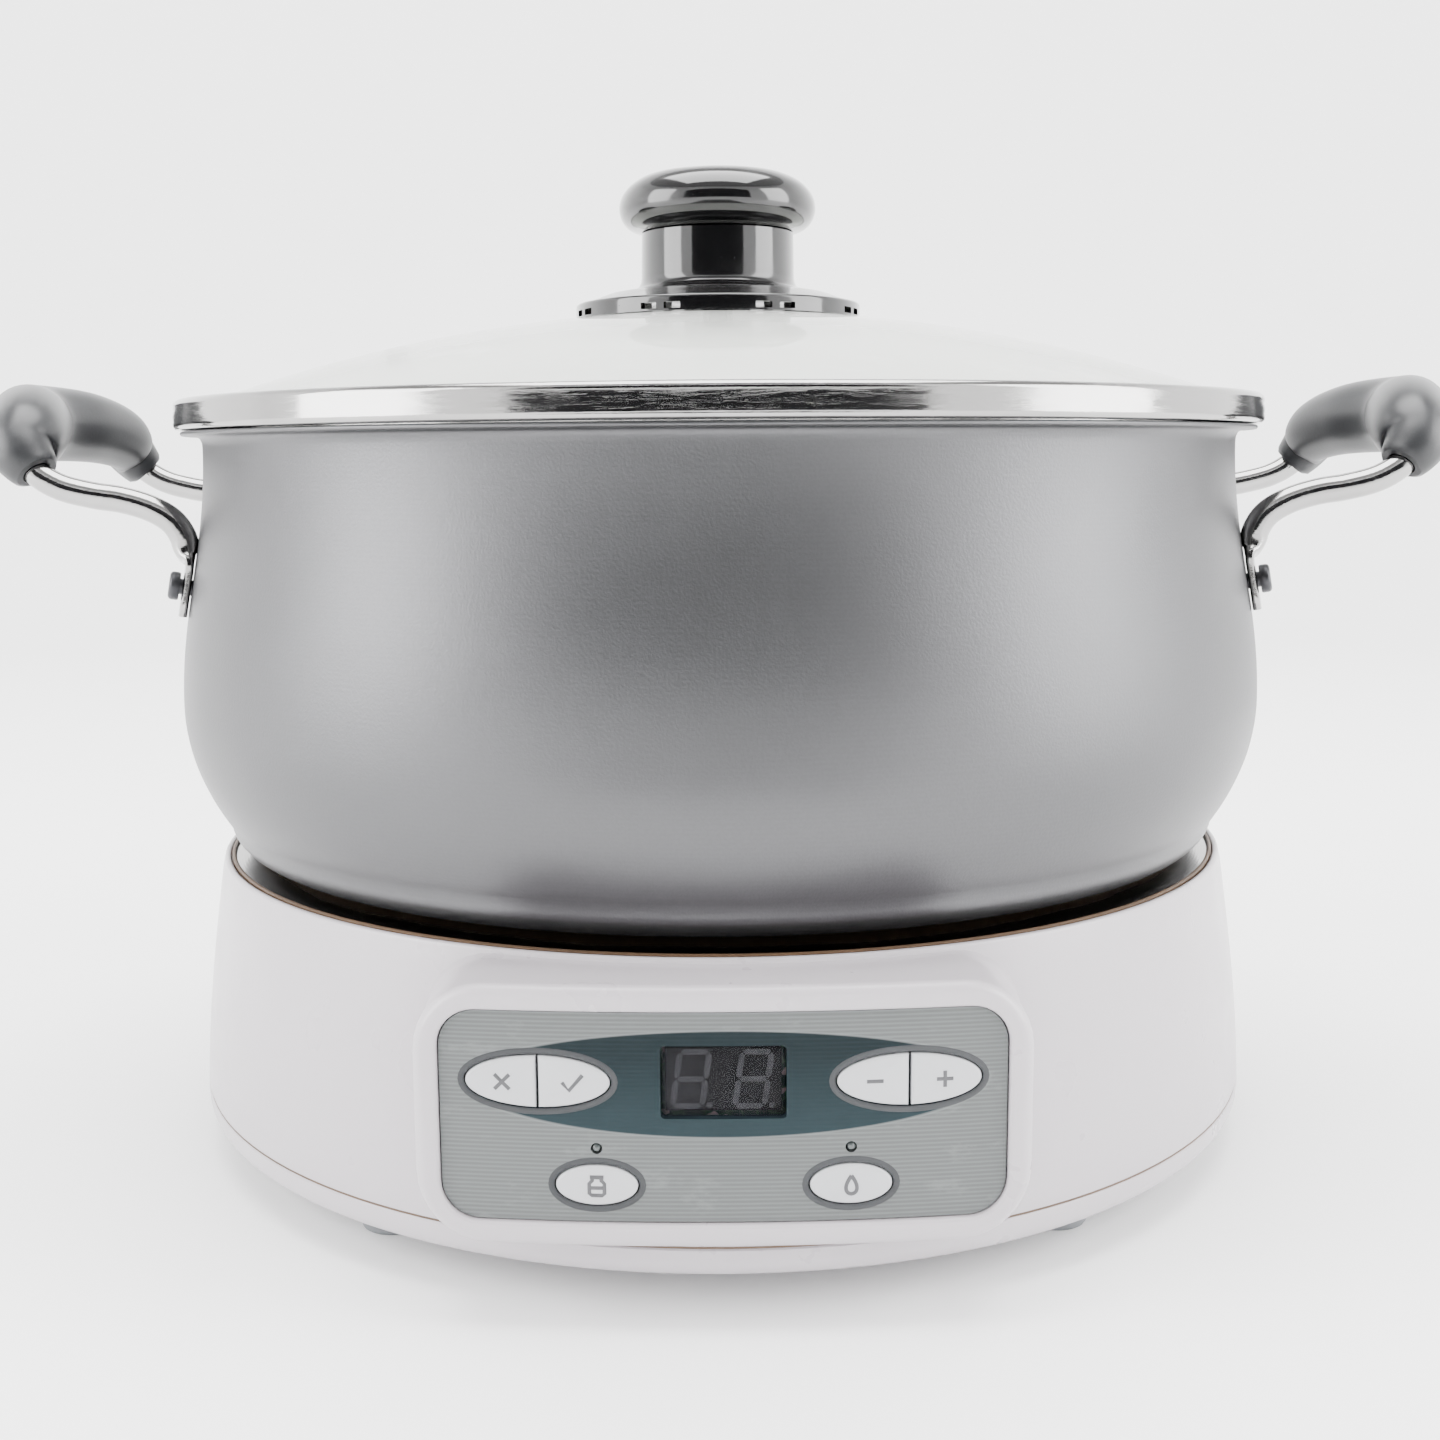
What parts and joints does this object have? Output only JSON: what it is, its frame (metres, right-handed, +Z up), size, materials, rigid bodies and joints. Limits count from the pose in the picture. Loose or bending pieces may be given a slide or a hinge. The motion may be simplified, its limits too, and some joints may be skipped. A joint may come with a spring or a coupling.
{
  "type": "slow cooker",
  "caption": "Round countertop cooker for jam: heated base with key panel and stirring drive, lift-off pot with side handles, stirrer and domed glass lid.",
  "frame": {"origin": "centre of the footprint of the overall box at table level", "axes": "+X to the right handle seen from the front, +Z up, and the control panel faces -Y"},
  "size_m": [0.397, 0.2996, 0.2558],
  "materials": {
    "white_plastic": "white with a faint lilac cast, semi-gloss",
    "panel_film": "grey metallic film with fine horizontal lines",
    "button_rubber": "pale grey, satin",
    "smoked_window": "smoked clear, gloss",
    "lamp_lens": "clear grey lens",
    "board_green": "green circuit board",
    "foot_rubber": "grey rubber",
    "bright_steel": "polished",
    "satin_pot": "satin silver",
    "cast_plate": "black",
    "sheath_steel": "heat-dulled sheath",
    "zinc_screw": "dull zinc",
    "bronze": "sintered bronze",
    "white_acetal": "natural white",
    "ceramic": "white ceramic sleeve",
    "motor_steel": "plated can",
    "grip_phenolic": "dark grey, satin",
    "gloss_phenolic": "black, high gloss",
    "lid_glass": "clear, very faint green",
    "silicone": "dark grey silicone",
    "stirrer_nylon": "black nylon"
  },
  "bodies": {
    "base": {"housing": "white_plastic", "base_cover": "white_plastic", "bezel": "white_plastic", "foot_front_left": "foot_rubber", "foot_front_right": "foot_rubber", "foot_rear_left": "foot_rubber", "foot_rear_right": "foot_rubber", "cover_screw_1": "zinc_screw", "cover_screw_2": "zinc_screw", "cover_screw_3": "zinc_screw", "cover_screw_4": "zinc_screw", "cord_gland": "silicone", "heater_bowl": "bright_steel", "hot_plate": "cast_plate", "heating_element": "sheath_steel", "thermal_fuse": "ceramic", "gearbox_case": "white_acetal", "gearbox_cover": "white_acetal", "shaft_bush": "bronze", "motor": "motor_steel", "power_board": "board_green", "panel_plate": "panel_film", "display_lens": "smoked_window", "display_module": "smoked_window", "lamp_left": "lamp_lens", "lamp_right": "lamp_lens", "control_board": "board_green", "sensor_spring": "bright_steel"},
    "drive": {"output_drive": "white_acetal"},
    "idler": {"idler_gear": "white_acetal"},
    "pinion": {"motor_pinion": "bright_steel"},
    "sensor": {"sensor_button": "bright_steel"},
    "cancel": {"button_cancel": "button_rubber"},
    "enter": {"button_enter": "button_rubber"},
    "minus": {"button_minus": "button_rubber"},
    "plus": {"button_plus": "button_rubber"},
    "jam": {"button_jam": "button_rubber"},
    "jelly": {"button_jelly": "button_rubber"},
    "pot": {"pot_shell": "satin_pot", "stirrer_post": "bright_steel", "post_gasket": "silicone", "post_nut": "zinc_screw", "rivet_left_front": "zinc_screw", "rivet_left_rear": "zinc_screw", "rivet_right_front": "zinc_screw", "rivet_right_rear": "zinc_screw", "handle_wire_left": "bright_steel", "handle_wire_right": "bright_steel", "grip_left": "grip_phenolic", "grip_right": "grip_phenolic"},
    "mixing_shaft": {"stirring_shaft": "bright_steel"},
    "paddle": {"stirrer": "stirrer_nylon"},
    "lid": {"lid_glass": "lid_glass", "lid_rim": "bright_steel", "vent_eyelet": "bright_steel", "knob_base": "gloss_phenolic", "knob_cap": "gloss_phenolic", "knob_screw": "zinc_screw", "knob_washer": "silicone"}
  },
  "joints": [
    {"name": "drive_spin", "type": "hinge", "parent": "base", "child": "drive", "pos_m": [0, 0, 0.05], "axis": [0, 0, 1], "continuous": true},
    {"name": "idler_spin", "type": "hinge", "parent": "base", "child": "idler", "pos_m": [0.03, 0, 0.05], "axis": [0, 0, 1], "continuous": true},
    {"name": "pinion_spin", "type": "hinge", "parent": "base", "child": "pinion", "pos_m": [0.03, 0.02, 0.05], "axis": [0, 0, 1], "continuous": true},
    {"name": "sensor_press", "type": "slide", "parent": "base", "child": "sensor", "axis": [0, 0, 1], "range_m": [-0.0015, 0], "stiffness_N_per_m": 150, "springref_m": 0.001, "deforming": ["sensor_spring"]},
    {"name": "cancel_press", "type": "slide", "parent": "base", "child": "cancel", "axis": [0, 1, 0], "range_m": [0, 0.0008], "stiffness_N_per_m": 300, "springref_m": -0.0004},
    {"name": "enter_press", "type": "slide", "parent": "base", "child": "enter", "axis": [0, 1, 0], "range_m": [0, 0.0008], "stiffness_N_per_m": 300, "springref_m": -0.0004},
    {"name": "minus_press", "type": "slide", "parent": "base", "child": "minus", "axis": [0, 1, 0], "range_m": [0, 0.0008], "stiffness_N_per_m": 300, "springref_m": -0.0004},
    {"name": "plus_press", "type": "slide", "parent": "base", "child": "plus", "axis": [0, 1, 0], "range_m": [0, 0.0008], "stiffness_N_per_m": 300, "springref_m": -0.0004},
    {"name": "jam_press", "type": "slide", "parent": "base", "child": "jam", "axis": [0, 1, 0], "range_m": [0, 0.0008], "stiffness_N_per_m": 300, "springref_m": -0.0004},
    {"name": "jelly_press", "type": "slide", "parent": "base", "child": "jelly", "axis": [0, 1, 0], "range_m": [0, 0.0008], "stiffness_N_per_m": 300, "springref_m": -0.0004},
    {"name": "pot_lift", "type": "slide", "parent": "base", "child": "pot", "axis": [0, 0, 1], "range_m": [0, 0.1]},
    {"name": "mixing_spin", "type": "hinge", "parent": "pot", "child": "mixing_shaft", "pos_m": [0, 0, 0.1], "axis": [0, 0, 1], "continuous": true},
    {"name": "stirrer_lift", "type": "slide", "parent": "mixing_shaft", "child": "paddle", "axis": [0, 0, 1], "range_m": [0, 0.06]},
    {"name": "lid_lift", "type": "slide", "parent": "pot", "child": "lid", "axis": [0, 0, 1], "range_m": [0, 0.12]}
  ],
  "couplings": [
    {"joint": "idler_spin", "follows": "drive_spin", "ratio": -3},
    {"joint": "pinion_spin", "follows": "drive_spin", "ratio": 9},
    {"joint": "mixing_spin", "follows": "drive_spin", "ratio": 1}
  ]
}
